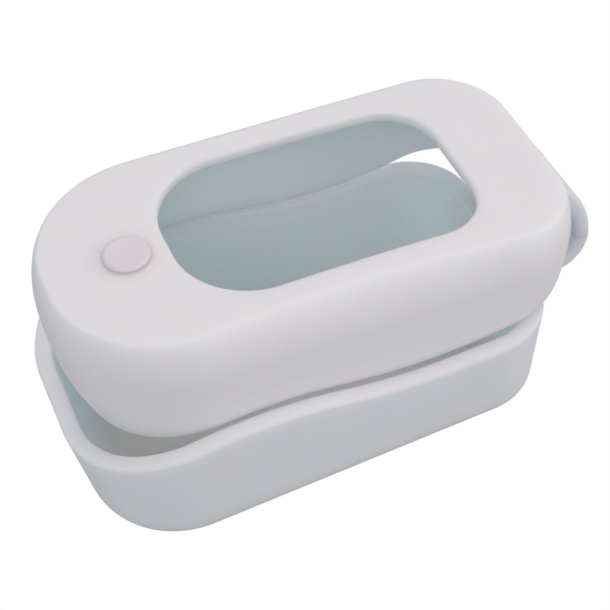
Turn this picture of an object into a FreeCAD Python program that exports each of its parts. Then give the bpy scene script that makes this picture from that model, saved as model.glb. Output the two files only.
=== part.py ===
import FreeCAD, Part
import math
import os
import Sketcher
from FreeCAD import Vector

# Protective silicone cover for a fingertip pulse oximeter, in millimetres.
# A deep lower tray and a rounded upper cover close over the instrument like a clam, joined at the far
# end by a C-shaped strap. The upper cover has a large window over the display and a soft push button.
# Frame: the tray's base stands on Z = 0 with the tray centred on the origin. X runs along the cover,
# from the finger end (-X) to the strap end (+X), and Z is up.

SIZES = (
    # lower tray: outline measured at tray_gauge above the base, walls leaning out by tray_lean
    ("tray_length", 64.0),
    ("tray_width", 38.0),
    ("tray_near_radius", 14.0),
    ("tray_far_radius", 9.5),
    ("tray_gauge", 17.0),
    ("tray_lean", 1.9),
    ("tray_foot_radius", 4.2),
    ("tray_wall", 2.3),
    ("tray_floor", 2.0),
    ("rim_crest_x", -12.0),
    ("rim_crest_height", 20.9),
    ("rim_crest_radius", 47.0),
    ("rim_low_height", 16.7),
    ("rim_low_radius", 55.0),
    # upper cover, in its own frame: widest at bulge_height, tucked in below it, shouldered above it
    ("cover_overhang", 3.0),
    ("cover_side_play", 2.2),
    ("cover_near_flat", 2.6),
    ("cover_far_radius", 11.0),
    ("cover_height", 31.0),
    ("cover_wall", 1.8),
    ("cover_skirt", 9.0),
    ("bulge_height", 24.6),
    ("end_tuck", 4.2),
    ("side_tuck", 1.0),
    ("end_shoulder", 3.4),
    ("side_shoulder", 5.3),
    ("shoulder_lift", 0.9),
    ("top_crown", 1.3),
    ("top_blend", 1.6),
    ("lip_crest_x", -10.0),
    ("lip_crest_height", 16.6),
    ("lip_crest_radius", 47.0),
    ("lip_low_height", 14.9),
    ("lip_low_radius", 60.0),
    # window over the display
    ("window_near_margin", 16.4),
    ("window_far_margin", 12.2),
    ("window_side_margin", 6.2),
    ("window_near_flat", 3.8),
    ("window_far_radius", 7.0),
    # push button moulded into the cover over the instrument's own button
    ("button_near_margin", 11.3),
    ("button_radius", 3.0),
    ("button_rise", 1.0),
    ("button_edge", 0.6),
    ("button_gap", 0.15),
    ("web_width", 1.4),
    ("web_thickness", 0.7),
    # C-shaped strap that hinges the cover to the tray
    ("strap_width", 12.0),
    ("strap_thickness", 2.0),
    ("strap_low", 10.7),
    ("strap_reach", 10.3),
    ("strap_lower_radius", 5.3),
    ("strap_upper_radius", 14.6),
    ("strap_upper_sweep", 41.0),
    ("strap_tip", 4.5),
    ("strap_gap", 0.05),
    # how the loose cover lies on the tray's rim: turned about the top of the tray's far end, then shifted
    ("rest_pivot_height", 15.0),
    ("rest_pitch", 5.2),
    ("rest_roll", 1.3),
    ("rest_yaw", 0.6),
    ("rest_shift_x", 2.8),
    ("rest_shift_y", 1.4),
    ("rest_shift_z", 0.4),
)

doc = FreeCAD.newDocument("oximeter_cover")
sheet = doc.addObject("Spreadsheet::Sheet", "Sizes")
for row, (alias, size) in enumerate(SIZES, start=1):
    sheet.set(f"A{row}", alias)
    sheet.set(f"B{row}", str(size))
    sheet.setAlias(f"B{row}", alias)
doc.recompute()

COVER_LENGTH = "(Sizes.tray_length + Sizes.cover_overhang)"
COVER_WIDTH = "(Sizes.tray_width - Sizes.cover_side_play)"
COVER_NEAR_RADIUS = f"(({COVER_WIDTH} - Sizes.cover_near_flat) / 2)"
WINDOW_LENGTH = f"({COVER_LENGTH} - Sizes.window_near_margin - Sizes.window_far_margin)"
WINDOW_WIDTH = f"({COVER_WIDTH} - 2 * Sizes.window_side_margin)"
WINDOW_X = "((Sizes.window_near_margin - Sizes.window_far_margin) / 2)"
BUTTON_X = f"(Sizes.button_near_margin - {COVER_LENGTH} / 2)"
CROWN_RADIUS = f"((({COVER_LENGTH} / 2)^2 + Sizes.top_crown^2) / (2 * Sizes.top_crown))"
BUTTON_SLOPE = f"asin({BUTTON_X} / {CROWN_RADIUS})"
BUTTON_TOP = f"Sizes.cover_height - {CROWN_RADIUS} * (1 - cos({BUTTON_SLOPE}))"
BUTTON_PLACE = (
    f"placement(vector({BUTTON_X}; 0; {BUTTON_TOP});"
    f" rotation(0; {BUTTON_SLOPE}; 0); vector(0; 0; 0))"
)
WEB_RADIUS = "(Sizes.button_radius + Sizes.web_width)"
STRAP_X = "(Sizes.tray_length / 2 + Sizes.strap_reach)"
STRAP_ROOT_X = "(Sizes.tray_length / 2 - Sizes.tray_lean - Sizes.tray_wall / 2)"
STRAP_SPLIT = "(Sizes.strap_low + Sizes.strap_lower_radius)"
WAVE_REACH = "Sizes.tray_length / 2 + 6"
CUT_MARGIN = 10.0  # mm that a cutting shape or an untrimmed wall reaches past the trimmed edge
TUCK_SHARES = (1, 0.66, 0.33, 0)  # levels of the cover's wall, from the lip up to the bulge
SHOULDER_ANGLES = (22.5, 45, 67.5, 90)  # levels of the cover's shoulder, from the bulge up to the top
TOP_EDGE_BAND = 0.5  # mm below the arched top in which its outer edges lie
TOUCH = 1e-6  # mm
REST_POSE = (
    "placement(vector(Sizes.rest_shift_x; Sizes.rest_shift_y; Sizes.rest_shift_z);"
    " rotation(Sizes.rest_yaw; Sizes.rest_pitch; Sizes.rest_roll);"
    " vector(Sizes.tray_length / 2; 0; Sizes.rest_pivot_height))"
)


def number(expression):
    """Value of an expression in the sheet's sizes."""
    result = sheet.evalExpression(expression.replace("Sizes.", ""))
    return float(getattr(result, "Value", result))


def origin_plane(body, role):
    """One of a body's own origin planes, such as XY_Plane."""
    return next(item for item in body.Origin.OriginFeatures if item.Role == role)


def new_sketch(body, name, plane, height="0"):
    """Empty sketch on an origin plane of its body, raised along the plane's normal."""
    sketch = body.newObject("Sketcher::SketchObject", name)
    sketch.AttachmentSupport = [(origin_plane(body, plane), "")]
    sketch.MapMode = "FlatFace"
    sketch.setExpression("AttachmentOffset.Base.z", height)
    return sketch


def rounded_outline(body, name, height, length, width, near, far, offset="0"):
    """Rectangle in plan, centred at x = offset, with one radius at its -X end and another at its +X end."""
    sketch = new_sketch(body, name, "XY_Plane", height)
    a, b = number(length) / 2, number(width) / 2
    rn, rf, x0 = number(near), number(far), number(offset)
    corners = (
        (x0 + a - rf, rf - b, rf, -90, 0),
        (x0 + a - rf, b - rf, rf, 0, 90),
        (x0 - a + rn, b - rn, rn, 90, 180),
        (x0 - a + rn, rn - b, rn, 180, 270),
    )
    arcs = [add_arc(sketch, (x, y), radius, start, end) for x, y, radius, start, end in corners]
    sides = []
    for first, second in zip(arcs, arcs[1:] + arcs[:1]):
        start, end = sketch.getPoint(first, 2), sketch.getPoint(second, 1)
        sides.append(add_line(sketch, (start.x, start.y), (end.x, end.y)))
        join(sketch, [((first, 2), (sides[-1], 1)), ((sides[-1], 2), (second, 1))], "Tangent")
    for side, direction in zip(sides, ("Vertical", "Horizontal", "Vertical", "Horizontal")):
        sketch.addConstraint(Sketcher.Constraint(direction, side))
    sketch.addConstraint(Sketcher.Constraint("Equal", arcs[0], arcs[1]))
    sketch.addConstraint(Sketcher.Constraint("Equal", arcs[2], arcs[3]))
    right, top, left, bottom = sides
    drive(sketch, "far_radius", ("Radius", arcs[0]), far)
    drive(sketch, "near_radius", ("Radius", arcs[2]), near)
    drive(sketch, "right", ("DistanceX", -1, 1, right, 1), f"({length}) / 2 + ({offset})")
    drive(sketch, "left", ("DistanceX", left, 1, -1, 1), f"({length}) / 2 - ({offset})")
    drive(sketch, "top", ("DistanceY", -1, 1, top, 1), f"({width}) / 2")
    drive(sketch, "bottom", ("DistanceY", bottom, 1, -1, 1), f"({width}) / 2")
    return sketch


def drive(sketch, name, constraint, expression):
    """Add a dimension to a sketch and bind it to the sheet."""
    index = sketch.addConstraint(Sketcher.Constraint(*constraint, number(expression)))
    sketch.renameConstraint(index, name)
    sketch.setExpression(f"Constraints.{name}", expression)


def join(sketch, pairs, kind="Coincident"):
    """Tie pairs of ends together, each end given as (geometry, point)."""
    for (first, start), (second, end) in pairs:
        sketch.addConstraint(Sketcher.Constraint(kind, first, start, second, end))


def add_arc(sketch, centre, radius, start, end):
    """Arc of a circle between two angles in degrees, counter-clockwise."""
    circle = Part.Circle(Vector(*centre, 0), Vector(0, 0, 1), radius)
    return sketch.addGeometry(Part.ArcOfCircle(circle, math.radians(start), math.radians(end)), False)


def add_line(sketch, start, end):
    """Straight line between two points."""
    return sketch.addGeometry(Part.LineSegment(Vector(*start, 0), Vector(*end, 0)), False)


def wave_profile(sketch, crest_x, crest_height, crest_radius, low_height, low_radius, level, flat):
    """Side view of a wavy edge: a crest arc, a low arc, a flat or rising tail, closed at a level."""
    cx, r1, r2 = number(crest_x), number(crest_radius), number(low_radius)
    drop = number(crest_height) - number(low_height)
    run = math.sqrt(2 * drop * (r1 + r2) - drop * drop)
    reach, zc, zl = number(WAVE_REACH), number(crest_height) - r1, number(low_height) + r2
    join_angle = math.degrees(math.atan2(zl - zc, run))
    left_angle = math.degrees(math.acos((-reach - cx) / r1))
    right_angle = 270 if flat else 270 + math.degrees(math.asin((reach - cx - run) / r2))
    crest = add_arc(sketch, (cx, zc), r1, join_angle, left_angle)
    low = add_arc(sketch, (cx + run, zl), r2, 180 + join_angle, right_angle)
    start, end, far = sketch.getPoint(crest, 2), sketch.getPoint(low, 2), number(level)
    left = add_line(sketch, (-reach, far), (-reach, start.y))
    cap = add_line(sketch, (reach, far), (-reach, far))
    right = add_line(sketch, (reach, end.y), (reach, far))
    join(sketch, [((crest, 1), (low, 1))], "Tangent")
    join(sketch, [((right, 2), (cap, 1)), ((cap, 2), (left, 1)), ((left, 2), (crest, 2))])
    if flat:
        tail = add_line(sketch, (end.x, end.y), (reach, end.y))
        join(sketch, [((low, 2), (tail, 1))], "Tangent")
        join(sketch, [((tail, 2), (right, 1))])
        sketch.addConstraint(Sketcher.Constraint("Horizontal", tail))
        drive(sketch, "low_height", ("DistanceY", -1, 1, tail, 1), low_height)
    else:
        join(sketch, [((low, 2), (right, 1))])
        drive(sketch, "low_centre", ("DistanceY", -1, 1, low, 3), f"({low_height}) + ({low_radius})")
    sketch.addConstraint(Sketcher.Constraint("Vertical", left))
    sketch.addConstraint(Sketcher.Constraint("Vertical", right))
    sketch.addConstraint(Sketcher.Constraint("Horizontal", cap))
    drive(sketch, "crest_radius", ("Radius", crest), crest_radius)
    drive(sketch, "low_radius", ("Radius", low), low_radius)
    drive(sketch, "crest_x", ("DistanceX", -1, 1, crest, 3), crest_x)
    drive(sketch, "crest_centre", ("DistanceY", -1, 1, crest, 3), f"({crest_height}) - ({crest_radius})")
    drive(sketch, "right_reach", ("DistanceX", -1, 1, right, 1), WAVE_REACH)
    drive(sketch, "left_reach", ("DistanceX", left, 1, -1, 1), WAVE_REACH)
    drive(sketch, "level", ("DistanceY", -1, 1, cap, 1), level)


def add_loft(body, sketches, ruled):
    """Solid through a stack of outlines."""
    loft = body.newObject("PartDesign::AdditiveLoft", "Loft")
    loft.Profile = sketches[0]
    loft.Sections = sketches[1:]
    loft.Ruled = ruled
    return loft


def add_fillet(body, base, radius, test):
    """Round the edges of a feature that pass a test on their shape."""
    doc.recompute()
    names = [f"Edge{n}" for n, edge in enumerate(base.Shape.Edges, start=1) if test(edge)]
    fillet = body.newObject("PartDesign::Fillet", "Fillet")
    fillet.Base = (base, names)
    fillet.setExpression("Radius", radius)
    return fillet


def new_body(name):
    """Empty body."""
    return doc.addObject("PartDesign::Body", name)


def add_pad(body, sketch, length, both_ways=False):
    """Straight extrusion of a sketch."""
    pad = body.newObject("PartDesign::Pad", "Pad")
    pad.Profile = sketch
    pad.SideType = "Symmetric" if both_ways else "One side"
    pad.setExpression("Length", length)
    return pad


def cut(name, base, tool):
    """Boolean difference, kept as an object of its own."""
    result = doc.addObject("Part::Cut", name)
    result.Base = base
    result.Tool = tool
    return result


def tray_block(name, inset, floor, foot):
    """Solid bucket shape inside the tray's outside face by an inset, standing on a floor height."""
    body = new_body(name)
    taken = f"(({inset}) + Sizes.tray_lean * (1 - ({floor}) / Sizes.tray_gauge))"
    outline = rounded_outline(
        body, "Outline", floor,
        f"Sizes.tray_length - 2 * {taken}", f"Sizes.tray_width - 2 * {taken}",
        f"Sizes.tray_near_radius - {taken}", f"Sizes.tray_far_radius - {taken}",
    )
    wall = add_pad(body, outline, f"Sizes.rim_crest_height + {CUT_MARGIN}")
    wall.setExpression("TaperAngle", "atan(Sizes.tray_lean / Sizes.tray_gauge)")
    base = number(floor)
    add_fillet(body, wall, foot, lambda edge: abs(edge.BoundBox.ZMax - base) < TOUCH)
    return body


def cover_block(name, inset):
    """Solid pillow shape inside the cover's outside face by an inset."""
    body = new_body(name)
    outlines = []
    for step, share in enumerate(TUCK_SHARES):
        height = f"Sizes.bulge_height - {share} * (Sizes.bulge_height - Sizes.cover_skirt)"
        outlines.append(cover_outline(body, step, inset, height, "tuck", share**2))
    for angle in SHOULDER_ANGLES:
        rise = math.sin(math.radians(angle))
        loss = 1 - math.cos(math.radians(angle))
        top = f"(Sizes.cover_height + Sizes.shoulder_lift - ({inset}))"
        height = f"Sizes.bulge_height + {rise:.4f} * ({top} - Sizes.bulge_height)"
        outlines.append(cover_outline(body, len(outlines), inset, height, "shoulder", loss))
    add_loft(body, outlines, False)
    crown = crown_cut(body, inset)
    top = number(f"Sizes.cover_height - ({inset}) - Sizes.top_crown - {TOP_EDGE_BAND}")
    add_fillet(body, crown, "Sizes.top_blend", lambda edge: edge.BoundBox.ZMin > top)
    return body


def cover_outline(body, step, inset, height, edge, share):
    """One level of the pillow, drawn in by a share of the end and side tuck or shoulder."""
    shrunk = inset if edge == "shoulder" else "0"
    ends = f"(({inset}) + {share:.4f} * (Sizes.end_{edge} - ({shrunk})))"
    sides = f"(({inset}) + {share:.4f} * (Sizes.side_{edge} - ({shrunk})))"
    return rounded_outline(
        body, f"Level{step}", height,
        f"{COVER_LENGTH} - 2 * {ends}", f"{COVER_WIDTH} - 2 * {sides}",
        f"{COVER_NEAR_RADIUS} - ({ends} + {sides}) / 2",
        f"Sizes.cover_far_radius - ({ends} + {sides}) / 2",
    )


def crown_cut(body, inset):
    """Trim the pillow's top to a shallow arc along its length."""
    sketch = new_sketch(body, "Crown", "XZ_Plane")
    radius, top = number(CROWN_RADIUS), number(f"Sizes.cover_height - ({inset})")
    reach = number(WAVE_REACH)
    half = math.degrees(math.asin(reach / radius))
    arc = add_arc(sketch, (0, top - radius), radius, 90 - half, 90 + half)
    start, end = sketch.getPoint(arc, 1), sketch.getPoint(arc, 2)
    above = top + CUT_MARGIN
    left = add_line(sketch, (end.x, end.y), (end.x, above))
    lid = add_line(sketch, (end.x, above), (start.x, above))
    right = add_line(sketch, (start.x, above), (start.x, start.y))
    ties = [((arc, 2), (left, 1)), ((left, 2), (lid, 1)), ((lid, 2), (right, 1)), ((right, 2), (arc, 1))]
    join(sketch, ties)
    sketch.addConstraint(Sketcher.Constraint("Vertical", left))
    sketch.addConstraint(Sketcher.Constraint("Vertical", right))
    sketch.addConstraint(Sketcher.Constraint("Horizontal", lid))
    sketch.addConstraint(Sketcher.Constraint("PointOnObject", arc, 3, -2))
    drive(sketch, "radius", ("Radius", arc), CROWN_RADIUS)
    centre = f"Sizes.cover_height - ({inset}) - {CROWN_RADIUS}"
    drive(sketch, "centre", ("DistanceY", -1, 1, arc, 3), centre)
    drive(sketch, "right_reach", ("DistanceX", -1, 1, right, 1), WAVE_REACH)
    drive(sketch, "left_reach", ("DistanceX", left, 1, -1, 1), WAVE_REACH)
    drive(sketch, "lid_height", ("DistanceY", -1, 1, lid, 1), f"Sizes.cover_height + {CUT_MARGIN}")
    pocket = body.newObject("PartDesign::Pocket", "Trim")
    pocket.Profile = sketch
    pocket.SideType = "Symmetric"
    pocket.setExpression("Length", f"2 * {COVER_WIDTH}")
    return pocket


def cutter(name, profile, width):
    """Solid made by extruding a side view both ways from the XZ plane."""
    body = new_body(name)
    sketch = new_sketch(body, "Side", "XZ_Plane")
    profile(sketch)
    add_pad(body, sketch, width, both_ways=True)
    return body


def rim_line(sketch):
    """Everything above the tray's wavy rim."""
    wave_profile(
        sketch, "Sizes.rim_crest_x", "Sizes.rim_crest_height", "Sizes.rim_crest_radius",
        "Sizes.rim_low_height", "Sizes.rim_low_radius", f"Sizes.rim_crest_height + 2 * {CUT_MARGIN}", True,
    )


def lip_line(sketch):
    """Everything below the cover's wavy lip."""
    wave_profile(
        sketch, "Sizes.lip_crest_x", "Sizes.lip_crest_height", "Sizes.lip_crest_radius",
        "Sizes.lip_low_height", "Sizes.lip_low_radius", f"Sizes.cover_skirt - {CUT_MARGIN}", False,
    )


def make_tray():
    """Cup with leaning walls, a rounded foot and a rim that dips for the finger."""
    outside = tray_block("tray_outside", "0", "0", "Sizes.tray_foot_radius")
    inside_foot = "Sizes.tray_foot_radius - Sizes.tray_wall / 2"
    inside = tray_block("tray_inside", "Sizes.tray_wall", "Sizes.tray_floor", inside_foot)
    above = cutter("tray_rim_cut", rim_line, "2 * Sizes.tray_width")
    return cut("lower_tray", cut("tray_cup", outside, inside), above)


def make_window_cut():
    """Straight plug through the cover's top with the window's outline."""
    body = new_body("window_cut")
    outline = rounded_outline(
        body, "Outline", "Sizes.bulge_height", WINDOW_LENGTH, WINDOW_WIDTH,
        f"({WINDOW_WIDTH} - Sizes.window_near_flat) / 2", "Sizes.window_far_radius", WINDOW_X,
    )
    add_pad(body, outline, "Sizes.cover_height")
    return body


def button_disc(name, radius, hole, low, high):
    """Disc or ring about the button's axis between two heights above the cover's top face."""
    body = new_body(name)
    sketch = new_sketch(body, "Disc", "XY_Plane", low)
    rings = [("radius", radius)] + ([("hole", hole)] if hole else [])
    for label, size in rings:
        circle = sketch.addGeometry(Part.Circle(Vector(0, 0, 0), Vector(0, 0, 1), number(size)), False)
        sketch.addConstraint(Sketcher.Constraint("Coincident", circle, 3, -1, 1))
        drive(sketch, label, ("Radius", circle), size)
    add_pad(body, sketch, f"({high}) - ({low})")
    return body


def make_cover():
    """Rounded hood with a wavy lip, a window and a hole for the button's web."""
    outside, inside = cover_block("cover_outside", "0"), cover_block("cover_inside", "Sizes.cover_wall")
    hood = cut("cover_hood", outside, inside)
    lipped = cut("cover_lipped", hood, cutter("cover_lip_cut", lip_line, "2 * Sizes.tray_width"))
    windowed = cut("cover_windowed", lipped, make_window_cut())
    depth = "3 * Sizes.cover_wall"
    hole = button_disc("button_hole", WEB_RADIUS, None, f"-{depth}", depth)
    hole.setExpression("Placement", BUTTON_PLACE)
    cover = cut("upper_shell", windowed, hole)
    cover.setExpression("Placement", REST_POSE)
    return cover


def make_button():
    """Raised disc that is pressed, the full thickness of the cover below its face."""
    body = button_disc("button_cap", "Sizes.button_radius", None, "-Sizes.cover_wall", "Sizes.button_rise")
    top = number("Sizes.button_rise")
    add_fillet(body, body.Tip, "Sizes.button_edge", lambda edge: edge.BoundBox.ZMin > top - TOUCH)
    body.setExpression("Placement", f"{REST_POSE} * {BUTTON_PLACE}")
    return body


def make_web():
    """Thin flexible ring around the button that lets it sink."""
    inner = "Sizes.button_radius + Sizes.button_gap"
    body = button_disc("button_web", WEB_RADIUS, inner, "-Sizes.web_thickness", "0")
    body.setExpression("Placement", f"{REST_POSE} * {BUTTON_PLACE}")
    return body


def lower_strap_line(sketch):
    """Level leg out from the tray, then a quarter bend upwards."""
    t, low, radius = (number(f"Sizes.strap_{name}") for name in ("thickness", "low", "lower_radius"))
    reach, start = number(STRAP_X), number(STRAP_ROOT_X)
    x, z = reach - radius, low + radius
    under = add_line(sketch, (start, low), (x, low))
    outer = add_arc(sketch, (x, z), radius, -90, 0)
    split = add_line(sketch, (reach, z), (reach - t, z))
    inner = add_arc(sketch, (x, z), radius - t, -90, 0)
    over = add_line(sketch, (x, low + t), (start, low + t))
    root = add_line(sketch, (start, low + t), (start, low))
    join(sketch, [((under, 2), (outer, 1)), ((inner, 1), (over, 1))], "Tangent")
    join(sketch, [((outer, 2), (split, 1)), ((split, 2), (inner, 2)), ((over, 2), (root, 1))])
    join(sketch, [((root, 2), (under, 1)), ((outer, 3), (inner, 3))])
    join(sketch, [((outer, 2), (outer, 3))], "Horizontal")
    for side in (under, split, over):
        sketch.addConstraint(Sketcher.Constraint("Horizontal", side))
    sketch.addConstraint(Sketcher.Constraint("Vertical", root))
    drive(sketch, "bend", ("Radius", outer), "Sizes.strap_lower_radius")
    drive(sketch, "thickness", ("DistanceY", root, 2, root, 1), "Sizes.strap_thickness")
    drive(sketch, "reach", ("DistanceX", -1, 1, outer, 2), STRAP_X)
    drive(sketch, "low", ("DistanceY", -1, 1, under, 1), "Sizes.strap_low")
    drive(sketch, "root", ("DistanceX", -1, 1, root, 1), STRAP_ROOT_X)


def upper_strap_line(sketch):
    """Long bend that leans back over the tray, then a straight tip into the cover's end wall."""
    t, radius, tip = (number(f"Sizes.strap_{name}") for name in ("thickness", "upper_radius", "tip"))
    sweep, reach, z = number("Sizes.strap_upper_sweep"), number(STRAP_X), number(STRAP_SPLIT)
    turn = math.radians(sweep)
    x, out, along = reach - radius, (math.cos(turn), math.sin(turn)), (-math.sin(turn), math.cos(turn))

    def spot(distance, run):
        return x + distance * out[0] + run * along[0], z + distance * out[1] + run * along[1]

    outer = add_arc(sketch, (x, z), radius, 0, sweep)
    back = add_line(sketch, spot(radius, 0), spot(radius, tip))
    cap = add_line(sketch, spot(radius, tip), spot(radius - t, tip))
    front = add_line(sketch, spot(radius - t, tip), spot(radius - t, 0))
    inner = add_arc(sketch, (x, z), radius - t, 0, sweep)
    split = add_line(sketch, (reach - t, z), (reach, z))
    join(sketch, [((outer, 2), (back, 1)), ((front, 2), (inner, 2))], "Tangent")
    join(sketch, [((back, 2), (cap, 1)), ((cap, 2), (front, 1)), ((inner, 1), (split, 1))])
    join(sketch, [((split, 2), (outer, 1)), ((outer, 3), (inner, 3))])
    join(sketch, [((outer, 1), (outer, 3))], "Horizontal")
    sketch.addConstraint(Sketcher.Constraint("Horizontal", split))
    sketch.addConstraint(Sketcher.Constraint("Perpendicular", back, cap))
    sketch.addConstraint(Sketcher.Constraint("Parallel", back, front))
    drive(sketch, "bend", ("Radius", outer), "Sizes.strap_upper_radius")
    drive(sketch, "thickness", ("DistanceX", split, 1, split, 2), "Sizes.strap_thickness")
    drive(sketch, "reach", ("DistanceX", -1, 1, outer, 1), STRAP_X)
    drive(sketch, "split_height", ("DistanceY", -1, 1, split, 1), STRAP_SPLIT)
    drive(sketch, "tip", ("Distance", back), "Sizes.strap_tip")
    index = sketch.addConstraint(Sketcher.Constraint("Angle", outer, turn))
    sketch.renameConstraint(index, "sweep")
    sketch.setExpression("Constraints.sweep", "Sizes.strap_upper_sweep * 1 deg")


def make_strap():
    """Two halves of the strap, met at its outermost point and ended at the tray's and cover's walls."""
    lower = cutter("strap_lower_band", lower_strap_line, "Sizes.strap_width")
    upper = cutter("strap_upper_band", upper_strap_line, "Sizes.strap_width")
    foot = "Sizes.tray_foot_radius"
    tray_skin = tray_block("tray_skin", "-Sizes.strap_gap", "0", foot)
    cover_skin = cover_block("cover_skin", "-Sizes.strap_gap")
    cover_skin.setExpression("Placement", REST_POSE)
    return cut("strap_lower_half", lower, tray_skin), cut("strap_upper_half", upper, cover_skin)


def check(parts):
    """Stop if any object failed to build or any part is not one sound solid."""
    doc.recompute()
    for item in doc.Objects:
        if "Invalid" in item.State or "Error" in item.State:
            raise RuntimeError(f"{item.Label} failed: {item.State}")
        if item.isDerivedFrom("Sketcher::SketchObject") and not item.FullyConstrained:
            raise RuntimeError(f"{item.Label} is not fully constrained")
    for part in parts:
        shape = part.Shape
        if shape.isNull() or not shape.isValid() or len(shape.Solids) != 1:
            raise RuntimeError(f"{part.Label} is not one valid solid")


parts = [make_tray(), make_cover(), make_button(), make_web(), *make_strap()]
check(parts)
os.makedirs("parts", exist_ok=True)
for part in parts:
    part.Shape.exportStep(os.path.join("parts", f"{part.Label}.step"))
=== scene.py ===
import math

import bmesh
import bpy
import numpy as np
from mathutils import Matrix, Vector


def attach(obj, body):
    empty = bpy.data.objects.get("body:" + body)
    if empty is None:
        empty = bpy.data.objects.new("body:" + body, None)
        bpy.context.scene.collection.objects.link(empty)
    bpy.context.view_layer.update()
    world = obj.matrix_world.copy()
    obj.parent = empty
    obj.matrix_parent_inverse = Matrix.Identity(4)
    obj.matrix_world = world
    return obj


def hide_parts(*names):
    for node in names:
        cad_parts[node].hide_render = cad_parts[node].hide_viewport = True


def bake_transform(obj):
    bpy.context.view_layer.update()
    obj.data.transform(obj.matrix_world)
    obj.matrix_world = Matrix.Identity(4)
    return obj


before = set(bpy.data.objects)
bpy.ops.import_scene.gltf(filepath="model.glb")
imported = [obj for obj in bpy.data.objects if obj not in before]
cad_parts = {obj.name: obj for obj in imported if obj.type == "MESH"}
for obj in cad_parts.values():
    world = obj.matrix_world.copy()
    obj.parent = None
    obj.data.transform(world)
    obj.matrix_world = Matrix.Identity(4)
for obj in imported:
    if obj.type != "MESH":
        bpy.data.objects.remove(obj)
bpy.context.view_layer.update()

# ---------------------------------------------------------------------------------------------------
# Lower tray: the deep cup that grips the lower half of the oximeter. It is silicone rubber about 2 mm
# thick, moulded in one shot with the rest, with leaning walls, a rounded foot and a thick wavy rim.
# ---------------------------------------------------------------------------------------------------
MM = 0.001
TRAY_LENGTH, TRAY_WIDTH = 64.0, 38.0
TRAY_NEAR_RADIUS, TRAY_FAR_RADIUS = 14.0, 9.5
TRAY_GAUGE, TRAY_LEAN = 17.0, 1.9
TRAY_FOOT, TRAY_INNER_FOOT = 4.2, 3.1
TRAY_WALL, TRAY_FLOOR = 2.3, 2.0
RIM_EDGE, RIM_INNER_EDGE = 0.5, 0.3
RIM_WAVE = {
    "crest_x": -12.0, "crest": 20.9, "crest_radius": 47.0, "low": 16.7, "low_radius": 55.0, "flat": True,
}
FLOOR_SHARES = (0.1, 0.4, 0.7, 0.9)
RING_POINTS, CORNER_POINTS = 240, 46


def moulded_outline(length, width, near_radius, far_radius, centre=0.0):
    """Points round a rounded rectangle with its outward normals, evenly spaced, in mm."""
    a, b = length / 2, width / 2
    corners = (
        (a - far_radius, b - far_radius, far_radius, 0),
        (near_radius - a, b - near_radius, near_radius, 90),
        (near_radius - a, near_radius - b, near_radius, 180),
        (a - far_radius, far_radius - b, far_radius, 270),
    )
    spots, normals = [(a, 0.0)], [(1.0, 0.0)]
    for x, y, radius, start in corners:
        for angle in np.radians(np.linspace(start, start + 90, CORNER_POINTS)):
            normal = (math.cos(angle), math.sin(angle))
            spots.append((x + radius * normal[0], y + radius * normal[1]))
            normals.append(normal)
    spots, normals = np.array(spots + spots[:1]), np.array(normals + normals[:1])
    run = np.concatenate([[0], np.cumsum(np.linalg.norm(np.diff(spots, axis=0), axis=1))])
    at = np.linspace(0, run[-1], RING_POINTS, endpoint=False)
    ring = np.stack([np.interp(at, run, spots[:, k]) for k in (0, 1)], axis=1)
    normal = np.stack([np.interp(at, run, normals[:, k]) for k in (0, 1)], axis=1)
    ring[:, 0] += centre
    return ring, normal / np.linalg.norm(normal, axis=1)[:, None]


def wavy_edge(x, wave):
    """Height of a wavy rim: a crest arc that runs into a low arc, then level if flat, else rising."""
    drop, radii = wave["crest"] - wave["low"], wave["crest_radius"] + wave["low_radius"]
    run = math.sqrt(2 * drop * radii - drop * drop)
    join = wave["crest_x"] + run * wave["crest_radius"] / radii
    low_x = wave["crest_x"] + run
    crest_drop = np.clip(wave["crest_radius"] ** 2 - (x - wave["crest_x"]) ** 2, 0, None)
    crest = wave["crest"] - wave["crest_radius"] + np.sqrt(crest_drop)
    low_drop = np.clip(wave["low_radius"] ** 2 - (x - low_x) ** 2, 0, None)
    low = wave["low"] + wave["low_radius"] - np.sqrt(low_drop)
    if wave["flat"]:
        low = np.where(x > low_x, wave["low"], low)
    return np.where(x < join, crest, low)


def ring_skin(name, rings, close_ends):
    """Mesh of quads through closed rings given in mm, with the two end rings filled to their middles."""
    count = len(rings[0])
    spots = np.concatenate(rings)
    faces = []
    for level in range(len(rings) - 1):
        first = level * count
        for k in range(count):
            following = (k + 1) % count
            faces.append((first + k, first + following, first + count + following, first + count + k))
    if close_ends:
        for level in (0, len(rings) - 1):
            spots = np.vstack([spots, rings[level].mean(axis=0)])
            for k in range(count):
                faces.append((level * count + k, level * count + (k + 1) % count, len(spots) - 1))
    else:
        last = (len(rings) - 1) * count
        for k in range(count):
            following = (k + 1) % count
            faces.append((last + k, last + following, following, k))
    return soft_mesh(name, spots, faces)


def soft_mesh(name, spots, faces):
    """Smooth-shaded object from points in mm, with its faces turned outwards."""
    mesh = bpy.data.meshes.new(name)
    mesh.from_pydata([tuple(p) for p in np.array(spots) * MM], [], faces)
    shape = bmesh.new()
    shape.from_mesh(mesh)
    bmesh.ops.recalc_face_normals(shape, faces=shape.faces)
    shape.to_mesh(mesh)
    shape.free()
    mesh.shade_smooth()
    piece = bpy.data.objects.new(name, mesh)
    bpy.context.scene.collection.objects.link(piece)
    return piece


def quarter(start, end, steps):
    """Sines and cosines along part of a round edge, angles in degrees."""
    return [(math.sin(a), math.cos(a)) for a in np.radians(np.linspace(start, end, steps))]


tray_ring, tray_normal = moulded_outline(TRAY_LENGTH, TRAY_WIDTH, TRAY_NEAR_RADIUS, TRAY_FAR_RADIUS)


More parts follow.
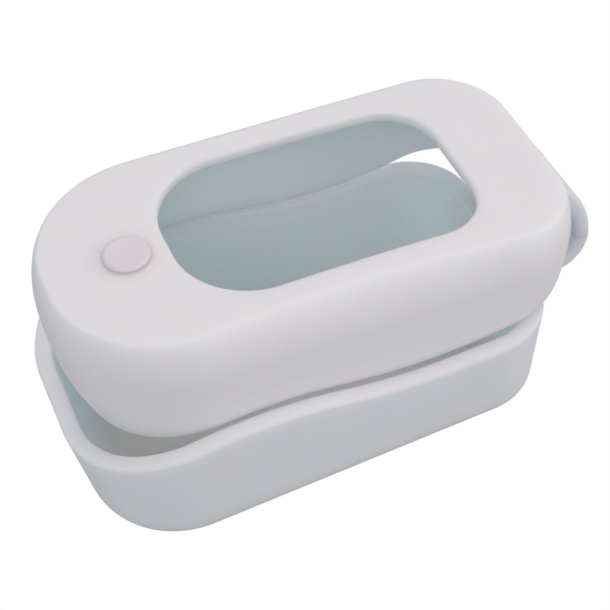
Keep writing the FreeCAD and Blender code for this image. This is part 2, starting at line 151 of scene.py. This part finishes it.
def tray_level(height, inset):
    """One ring of the tray at a height, drawn in from its leaning outer face."""
    height = np.broadcast_to(height, (RING_POINTS,))
    drawn = inset + TRAY_LEAN * (1 - height / TRAY_GAUGE)
    return np.column_stack([tray_ring - tray_normal * drawn[:, None], height])


def tray_disc(height, inset, shares):
    """Rings that shrink to the middle of a flat floor."""
    edge = tray_level(height, inset)
    return [edge * (share, share, 1.0) for share in shares]


rim_height = wavy_edge(tray_level(TRAY_GAUGE, 0.0)[:, 0], RIM_WAVE)
tray_rings = tray_disc(0.0, TRAY_FOOT, FLOOR_SHARES)
for sine, cosine in quarter(0, 90, 9):
    tray_rings.append(tray_level(TRAY_FOOT * (1 - cosine), TRAY_FOOT * (1 - sine)))
outer_run = rim_height - RIM_EDGE - TRAY_FOOT
for share in np.linspace(0, 1, 12)[1:]:
    tray_rings.append(tray_level(TRAY_FOOT + share * outer_run, 0.0))
for sine, cosine in quarter(0, 90, 6)[1:]:
    tray_rings.append(tray_level(rim_height - RIM_EDGE * (1 - sine), RIM_EDGE * (1 - cosine)))
for sine, cosine in quarter(0, 90, 6):
    drawn = TRAY_WALL - RIM_INNER_EDGE * (1 - sine)
    tray_rings.append(tray_level(rim_height - RIM_INNER_EDGE * (1 - cosine), drawn))
tray_lining = len(tray_rings)
inner_low = TRAY_FLOOR + TRAY_INNER_FOOT
inner_run = rim_height - RIM_INNER_EDGE - inner_low
for share in np.linspace(1, 0, 12)[1:]:
    tray_rings.append(tray_level(inner_low + share * inner_run, TRAY_WALL))
for sine, cosine in quarter(90, 0, 8)[1:]:
    drawn = TRAY_WALL + TRAY_INNER_FOOT * (1 - sine)
    tray_rings.append(tray_level(TRAY_FLOOR + TRAY_INNER_FOOT * (1 - cosine), drawn))
tray_rings += tray_disc(TRAY_FLOOR, TRAY_WALL + TRAY_INNER_FOOT, FLOOR_SHARES[::-1])
tray = ring_skin("tray", tray_rings, True)


def linear(code):
    """Scene-linear colour of an sRGB hex value."""
    parts = [int(code[k:k + 2], 16) / 255 for k in (1, 3, 5)]
    return [p / 12.92 if p <= 0.04045 else ((p + 0.055) / 1.055) ** 2.4 for p in parts] + [1.0]


def add_node(material, kind, inputs=(), **settings):
    """Add one shader node, set its values and link what feeds it."""
    node = material.node_tree.nodes.new(kind)
    for name, value in settings.items():
        setattr(node, name, value)
    for socket, value in dict(inputs).items():
        if isinstance(value, bpy.types.NodeSocket):
            material.node_tree.links.new(value, node.inputs[socket])
        else:
            node.inputs[socket].default_value = value
    return node


# Milky silicone rubber from a polished mould. Light soaks some 2 to 3 mm into it, green and blue a
# little further than red, so outer faces look faintly warm. It has a soft gloss, with faint clouds
# about 14 mm wide that change tint and gloss, and a fine skin drawn as a 0.5 mm grain.
SILICONE_SCATTER = (1.8, 3.0, 3.1)
CLOUD_WIDTH, GRAIN_WIDTH, GRAIN_DEPTH = 14 * MM, 0.5 * MM, 0.05 * MM


def silicone(name, pale, deep, soak=1.0, scatter=SILICONE_SCATTER):
    """Silicone between two tints; soak is the share of light that enters, scatter how far in mm."""
    material = bpy.data.materials.new(name)
    material.use_nodes = True
    material.node_tree.nodes.clear()
    place = add_node(material, "ShaderNodeTexCoord").outputs["Object"]
    cloud = add_node(
        material, "ShaderNodeTexNoise",
        {"Vector": place, "Scale": 1 / CLOUD_WIDTH, "Detail": 3.0, "Roughness": 0.5},
    ).outputs["Fac"]
    tint = add_node(
        material, "ShaderNodeMixRGB", {"Fac": cloud, "Color1": linear(pale), "Color2": linear(deep)}
    ).outputs["Color"]
    grain = add_node(
        material, "ShaderNodeTexNoise", {"Vector": place, "Scale": 1 / GRAIN_WIDTH, "Detail": 2.0}
    ).outputs["Fac"]
    bump = add_node(
        material, "ShaderNodeBump", {"Height": grain, "Strength": 0.05, "Distance": GRAIN_DEPTH}
    ).outputs["Normal"]
    gloss = add_node(
        material, "ShaderNodeMapRange", {"Value": cloud, "To Min": 0.36, "To Max": 0.5}
    ).outputs["Result"]
    shader = add_node(
        material, "ShaderNodeBsdfPrincipled",
        {"Base Color": tint, "Roughness": gloss, "Normal": bump, "IOR": 1.41,
         "Subsurface Weight": soak, "Subsurface Radius": scatter, "Subsurface Scale": MM},
    )
    add_node(material, "ShaderNodeOutputMaterial", {"Surface": shader.outputs["BSDF"]})
    return material


# Painted shade: the inner faces get a cooler, cyan-white copy of the same silicone, which lets light further
# in, for the cool teal look of the shaded inside.
tray_silicone = silicone("tray_silicone", "#f4f6fa", "#f1f3f8")
shaded_lining_silicone = silicone("shaded_lining_silicone", "#f4ffff", "#f0fdff", scatter=(2.0, 4.8, 5.4))


def finish_faces(piece, outside, inside, first, last):
    """One finish outside and another on the inner faces, which lie between two rings."""
    piece.data.materials.append(outside)
    piece.data.materials.append(inside)
    for face in piece.data.polygons[first * RING_POINTS:last * RING_POINTS]:
        face.material_index = 1


# The tray's inner faces take the cool lining copy: painted shade.
finish_faces(tray, tray_silicone, shaded_lining_silicone, tray_lining, len(tray_rings) - 1)
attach(tray, "tray")
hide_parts("lower_tray")

# ---------------------------------------------------------------------------------------------------
# Upper shell: the rounded hood over the oximeter's display half, widest a little above its wavy lip.
# Silicone rubber 1.8 mm thick with a large window; it lies loosely on the tray, slightly askew. The
# thin foot that lets the button sink is moulded in it.
# ---------------------------------------------------------------------------------------------------
SHELL_LENGTH, SHELL_WIDTH, SHELL_TOP = 67.0, 35.8, 31.0
SHELL_NEAR_RADIUS, SHELL_FAR_RADIUS = 16.6, 11.0
SHELL_WALL, SHELL_SKIRT, SHELL_BULGE = 1.8, 9.0, 24.6
END_TUCK, SIDE_TUCK = 4.2, 1.0
END_SHOULDER, SIDE_SHOULDER, SHOULDER_LIFT = 3.4, 5.3, 0.9
TOP_CROWN, TOP_SOFTNESS = 1.3, 0.5
LIP_WAVE = {
    "crest_x": -10.0, "crest": 16.6, "crest_radius": 47.0, "low": 14.9, "low_radius": 60.0, "flat": False,
}
LIP_EDGE, WINDOW_EDGE = 0.45, 0.5
WINDOW_LENGTH, WINDOW_WIDTH, WINDOW_OFFSET = 38.4, 23.4, 2.1
WINDOW_NEAR_RADIUS, WINDOW_FAR_RADIUS = 9.8, 7.0
REST_PIVOT = Vector((TRAY_LENGTH / 2, 0.0, 15.0))
REST_YAW, REST_PITCH, REST_ROLL = 0.6, 5.2, 1.3
REST_SHIFT = Vector((2.8, 1.4, 0.4))
BUTTON_X, BUTTON_RADIUS = -22.2, 2.9
FOOT_RADIUS, FOOT_RISE, FOOT_DEPTH, FOOT_HUB, FOOT_BURY = 4.4, 0.35, 0.9, 0.5, 0.03

turned = Matrix.Rotation(math.radians(REST_YAW), 4, "Z") @ Matrix.Rotation(math.radians(REST_PITCH), 4, "Y")
turned = turned @ Matrix.Rotation(math.radians(REST_ROLL), 4, "X")
shell_place = Matrix.Translation(REST_SHIFT + REST_PIVOT) @ turned @ Matrix.Translation(-REST_PIVOT)
crown_radius = ((SHELL_LENGTH / 2) ** 2 + TOP_CROWN ** 2) / (2 * TOP_CROWN)
shell_ring, shell_normal = moulded_outline(SHELL_LENGTH, SHELL_WIDTH, SHELL_NEAR_RADIUS, SHELL_FAR_RADIUS)
window_ring, window_normal = moulded_outline(
    WINDOW_LENGTH, WINDOW_WIDTH, WINDOW_NEAR_RADIUS, WINDOW_FAR_RADIUS, WINDOW_OFFSET
)


def placed(rings, place):
    """Rings moved by a placement."""
    turn, shift = np.array(place)[:3, :3], np.array(place)[:3, 3]
    return [ring @ turn.T + shift for ring in rings]


def crown_height(x, inset):
    """Height of the shell's gently arched top, or of a face an inset below it."""
    return SHELL_TOP - inset - crown_radius + np.sqrt(crown_radius ** 2 - x ** 2)


def wall_level(height, inset):
    """Ring of the shell's wall below the bulge, tucked in towards the lip."""
    share = ((SHELL_BULGE - height) / (SHELL_BULGE - SHELL_SKIRT)) ** 2
    drawn = np.column_stack([inset + share * END_TUCK, inset + share * SIDE_TUCK])
    return np.column_stack([shell_ring - shell_normal * drawn, height])


def lip_height(inset):
    """Height of the lip round the shell: a few steps settle where the tucked wall meets the wave."""
    height = np.full(RING_POINTS, LIP_WAVE["low"])
    for _ in range(6):
        height = wavy_edge(wall_level(height, inset)[:, 0], LIP_WAVE)
    return height


def shoulder_level(angle, inset):
    """Ring of the shell's shoulder, from upright at 0 degrees to the arched top at 90."""
    sine, cosine = math.sin(math.radians(angle)), math.cos(math.radians(angle))
    ends, sides = END_SHOULDER - inset, SIDE_SHOULDER - inset
    flat = shell_ring - shell_normal * (inset + (1 - cosine) * ends, inset + (1 - cosine) * sides)
    top = SHELL_TOP + SHOULDER_LIFT - inset
    height = SHELL_BULGE + sine * (top - SHELL_BULGE)
    arch = crown_height(flat[:, 0], inset)
    mix = np.clip(0.5 + 0.5 * (height - arch) / TOP_SOFTNESS, 0, 1)
    low = height * (1 - mix) + arch * mix - TOP_SOFTNESS * mix * (1 - mix) / 2
    return np.column_stack([flat, low])


def top_level(share, inset, gap):
    """Ring on the arched top, a share of the way from the shoulder to the window's edge."""
    outer = shoulder_level(90, inset)[:, :2]
    flat = outer + share * (window_ring + window_normal * gap - outer)
    return np.column_stack([flat, crown_height(flat[:, 0], inset)])


def shell_face(inset):
    """Rings of one face of the shell, from the lip up over the shoulder to near the window."""
    lip = lip_height(inset) + LIP_EDGE
    rings = [wall_level(lip + share * (SHELL_BULGE - lip), inset) for share in np.linspace(0, 1, 14)]
    rings += [shoulder_level(angle, inset) for angle in np.linspace(0, 90, 30)[1:]]
    rings += [top_level(share, inset, WINDOW_EDGE) for share in np.linspace(0, 1, 8)[1:]]
    return rings


outer_face, inner_face = shell_face(0.0), shell_face(SHELL_WALL)
window_rings = []
for sine, cosine in quarter(0, 90, 6)[1:]:
    ring = window_ring + window_normal * WINDOW_EDGE * (1 - sine)
    window_rings.append(np.column_stack([ring, crown_height(ring[:, 0], WINDOW_EDGE * (1 - cosine))]))
for sine, cosine in quarter(90, 0, 6)[:-1]:
    ring = window_ring + window_normal * WINDOW_EDGE * (1 - sine)
    inset = SHELL_WALL - WINDOW_EDGE * (1 - cosine)
    window_rings.append(np.column_stack([ring, crown_height(ring[:, 0], inset)]))
lip_rings = []
middle = (outer_face[0] + inner_face[0]) / 2
across = (outer_face[0] - inner_face[0]) / 2
for sine, cosine in quarter(-90, 90, 12)[1:-1]:
    down = np.zeros((RING_POINTS, 3))
    down[:, 2] = LIP_EDGE * cosine
    lip_rings.append(middle + across * sine - down)
shell_rings = outer_face + window_rings + inner_face[::-1] + lip_rings
shell = ring_skin("shell", placed(shell_rings, shell_place), False)
shell_silicone = silicone("shell_silicone", "#f8f6fa", "#f4f1f4")
shell_lining = len(outer_face) + len(window_rings)
# The shell's inner faces take the cool lining copy too: painted shade.
finish_faces(shell, shell_silicone, shaded_lining_silicone, shell_lining, shell_lining + len(inner_face) - 1)

button_slope = math.asin(BUTTON_X / crown_radius)
button_place = shell_place @ Matrix.Translation((BUTTON_X, 0, crown_height(BUTTON_X, 0.0)))
button_place = button_place @ Matrix.Rotation(button_slope, 4, "Y")


def lathe(name, profile, place, count=96):
    """Turned solid about the placement's own Z from (radius, height) points, closed at both ends."""
    angles = np.linspace(0, 2 * math.pi, count, endpoint=False)
    rings = [np.column_stack([r * np.cos(angles), r * np.sin(angles), np.full(count, z)]) for r, z in profile]
    return ring_skin(name, placed(rings, place), True)


def mould_together(piece, addition):
    """Make one solid of a piece and what is moulded on it."""
    step = piece.modifiers.new(addition.name, "BOOLEAN")
    step.operation, step.solver, step.object = "UNION", "EXACT", addition
    graph = bpy.context.evaluated_depsgraph_get()
    shaped = bpy.data.meshes.new_from_object(piece.evaluated_get(graph))
    piece.modifiers.clear()
    piece.data = shaped
    bpy.data.objects.remove(addition)


foot_width = FOOT_RADIUS - BUTTON_RADIUS
foot = [(FOOT_HUB, -FOOT_DEPTH), (FOOT_RADIUS, -FOOT_DEPTH), (FOOT_RADIUS, -FOOT_BURY)]
for sine, cosine in quarter(0, 90, 12)[1:]:
    foot.append((FOOT_RADIUS - foot_width * sine, FOOT_RISE * (1 - cosine)))
mould_together(shell, lathe("button_foot", foot + [(FOOT_HUB, FOOT_RISE)], button_place))
shell.data.set_sharp_from_angle(angle=math.radians(50))

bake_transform(shell)
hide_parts("upper_shell", "button_web")

# ---------------------------------------------------------------------------------------------------
# Push button: a raised disc moulded in the shell over the oximeter's own switch. Its edge is rounded,
# its top is dished a little for a fingertip, and the thin silicone round its foot lets it sink.
# ---------------------------------------------------------------------------------------------------
BUTTON_RISE, BUTTON_EDGE, BUTTON_HUB, BUTTON_BASE = 0.8, 0.42, 0.3, 2.85
DISH_DEPTH, DISH_STEEPNESS = 0.1, 1.8

disc = [(BUTTON_HUB, FOOT_RISE - FOOT_BURY), (BUTTON_BASE, FOOT_RISE - FOOT_BURY)]
for sine, cosine in quarter(0, 90, 9):
    disc.append((BUTTON_RADIUS - BUTTON_EDGE * (1 - cosine), BUTTON_RISE - BUTTON_EDGE * (1 - sine)))
for share in np.linspace(0, 1, 12)[1:-1]:
    dish = DISH_DEPTH * (1 - math.cos(math.pi * min(1.0, share * DISH_STEEPNESS))) / 2
    disc.append(((BUTTON_RADIUS - BUTTON_EDGE) * (1 - share), BUTTON_RISE - dish))
button = lathe("button", disc, button_place)
button.data.set_sharp_from_angle(angle=math.radians(60))
# The same rubber with no light let in beneath its surface, in a slightly darker, pinker copy: the pink tint
# is painted warm light on the raised disc.
button.data.materials.append(silicone("lit_button_silicone", "#efe6ea", "#ebe3e8", soak=0.0))
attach(button, "button")
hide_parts("button_cap")

# ---------------------------------------------------------------------------------------------------
# Hinge strap: a C-shaped band of the same silicone, 12 mm wide and 2 mm thick, that leaves the tray's
# end wall level, turns up and leans back into the shell's end wall.
# ---------------------------------------------------------------------------------------------------
STRAP_WIDTH, STRAP_GAUGE, STRAP_EDGE, STRAP_FLARE = 12.0, 2.0, 0.75, 0.7
STRAP_LOW, STRAP_OUT, STRAP_SPLIT = 11.7, 41.3, 16.0
LOWER_BEND, UPPER_BEND, UPPER_SWEEP, STRAP_TIP = 4.3, 13.6, 41.0, 3.0
ROOT_STATIONS = 6
LOWER_FLEX = (Vector((36.5, 0.0, 11.7)), Vector((40.5, 0.0, 15.2)))
UPPER_FLEX = (Vector((41.0, 0.0, 17.0)), Vector((37.3, 0.0, 26.0)))


def band(name, path, flares):
    """Flat band with rounded edges swept along (x, z, turn) stations; flares thicken it at a root."""
    rings = []
    for (x, z, turn), flare in zip(path, flares):
        half, thick = STRAP_WIDTH / 2 + flare, STRAP_GAUGE / 2 + flare
        outward = np.array((math.cos(turn), 0.0, math.sin(turn)))
        ring = []
        for side, up, start in ((1, 1, 0), (-1, 1, 90), (-1, -1, 180), (1, -1, 270)):
            for sine, cosine in quarter(start, start + 90, 6):
                across = side * (half - STRAP_EDGE) + STRAP_EDGE * cosine
                away = up * (thick - STRAP_EDGE) + STRAP_EDGE * sine
                ring.append(np.array((x, across, z)) + away * outward)
        rings.append(np.array(ring))
    return ring_skin(name, rings, True)


def root_flares(path):
    """Thickening of a band over its first stations, where it grows out of a wall."""
    return [STRAP_FLARE * max(0.0, 1 - k / ROOT_STATIONS) ** 2 for k in range(len(path))]


lower_path, upper_path = [], []
for x in np.linspace(TRAY_LENGTH / 2 - TRAY_LEAN, STRAP_OUT - LOWER_BEND, 14):
    lower_path.append((x, STRAP_LOW, math.radians(-90)))
for turn in np.radians(np.linspace(-90, 0, 19))[1:]:
    x = STRAP_OUT - LOWER_BEND * (1 - math.cos(turn))
    lower_path.append((x, STRAP_LOW + LOWER_BEND * (1 + math.sin(turn)), turn))
for turn in np.radians(np.linspace(0, UPPER_SWEEP, 19)):
    x = STRAP_OUT - UPPER_BEND * (1 - math.cos(turn))
    upper_path.append((x, STRAP_SPLIT + UPPER_BEND * math.sin(turn), turn))
x, z, turn = upper_path[-1]
for run in np.linspace(0, STRAP_TIP, 10)[1:]:
    upper_path.append((x - run * math.sin(turn), z + run * math.cos(turn), turn))
# The same rubber in a thin band, letting less light in beneath its surface, in a darker and cooler copy:
# painted shade for the band's shaded loop.
strap_silicone = silicone("strap_silicone", "#eef1f4", "#eaeef2", soak=0.3)
strap_halves = (
    ("strap_lower", lower_path, root_flares(lower_path), ("tray", "strap"), LOWER_FLEX),
    ("strap_upper", upper_path, root_flares(upper_path)[::-1], ("strap", "cover"), UPPER_FLEX),
)
for name, path, flares, bodies, (start, end) in strap_halves:
    strap = band(name, path, flares)
    strap.data.set_sharp_from_angle(angle=math.radians(50))
    strap.data.materials.append(strap_silicone)
    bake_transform(strap)
    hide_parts(name + "_half")

# ---------------------------------------------------------------------------------------------------
# Studio: a wide sheet of matt paper in soft, faintly blue light from all round, with faintly warm
# softboxes above and at both sides. A long lens looks down on one long side, a little from the
# button's end.
# ---------------------------------------------------------------------------------------------------
FLOOR_REACH = 6.0
AIM = Vector((0, 0, 0.02))
TARGET, DISTANCE = Vector((0.00343, 0.00074, 0.0154)), 0.19693
AZIMUTH, ELEVATION, TILT = math.radians(-17.53), math.radians(48.5), math.radians(-7.66)
FOCAL_LENGTH, SENSOR_WIDTH = 88.27, 36.0

floor_mesh = bpy.data.meshes.new("floor")
corners = [(x * FLOOR_REACH, y * FLOOR_REACH, 0) for x, y in ((-1, -1), (1, -1), (1, 1), (-1, 1))]
floor_mesh.from_pydata(corners, [], [(0, 1, 2, 3)])
floor = bpy.data.objects.new("floor", floor_mesh)
bpy.context.scene.collection.objects.link(floor)
# Matt white paper: the camera sees it as plain white, and every other ray meets a matt pale grey, so
# the light that it throws back on the pieces stays soft.
paper = bpy.data.materials.new("white_paper_sweep")
paper.use_nodes = True
paper.node_tree.nodes.clear()
matt = add_node(paper, "ShaderNodeBsdfDiffuse", {"Color": linear("#c4c4c6")}).outputs["BSDF"]
glow = add_node(
    paper, "ShaderNodeEmission", {"Color": linear("#ffffff"), "Strength": 1.0}
).outputs["Emission"]
seen = add_node(paper, "ShaderNodeLightPath").outputs["Is Camera Ray"]
lit_paper = add_node(paper, "ShaderNodeMixShader", {0: seen, 1: matt, 2: glow}).outputs["Shader"]
add_node(paper, "ShaderNodeOutputMaterial", {"Surface": lit_paper})
floor_mesh.materials.append(paper)

world = bpy.data.worlds.new("studio")
world.use_nodes = True
world.node_tree.nodes["Background"].inputs["Color"].default_value = linear("#eaf4fd")
world.node_tree.nodes["Background"].inputs["Strength"].default_value = 0.5
bpy.context.scene.world = world


def softbox(name, place, width, power, colour):
    """Square area lamp turned towards the cover, sizes in metres and power in watts."""
    lamp = bpy.data.lights.new(name, "AREA")
    lamp.size, lamp.energy, lamp.color = width, power, linear(colour)[:3]
    holder = bpy.data.objects.new(name, lamp)
    holder.location = place
    holder.rotation_euler = (AIM - Vector(place)).to_track_quat("-Z", "Y").to_euler()
    bpy.context.scene.collection.objects.link(holder)


softbox("overhead", (0.10, 0.20, 0.60), 0.6, 0.75, "#fff0ea")
softbox("left_fill", (-0.25, -0.30, 0.50), 0.5, 0.9, "#fff2ee")
softbox("right_fill", (0.55, -0.20, 0.20), 0.4, 1.0, "#fff2ee")

level = Vector((math.sin(AZIMUTH), -math.cos(AZIMUTH), 0)) * math.cos(ELEVATION)
back = level + Vector((0, 0, math.sin(ELEVATION)))
look = back.to_track_quat("Z", "Y").to_matrix().to_4x4() @ Matrix.Rotation(TILT, 4, "Z")
lens = bpy.data.cameras.new("camera")
lens.lens, lens.sensor_width, lens.clip_start = FOCAL_LENGTH, SENSOR_WIDTH, 0.01
camera = bpy.data.objects.new("camera", lens)
camera.matrix_world = Matrix.Translation(TARGET + back * DISTANCE) @ look
bpy.context.scene.collection.objects.link(camera)
bpy.context.scene.camera = camera
bpy.context.scene.view_settings.view_transform = "Standard"
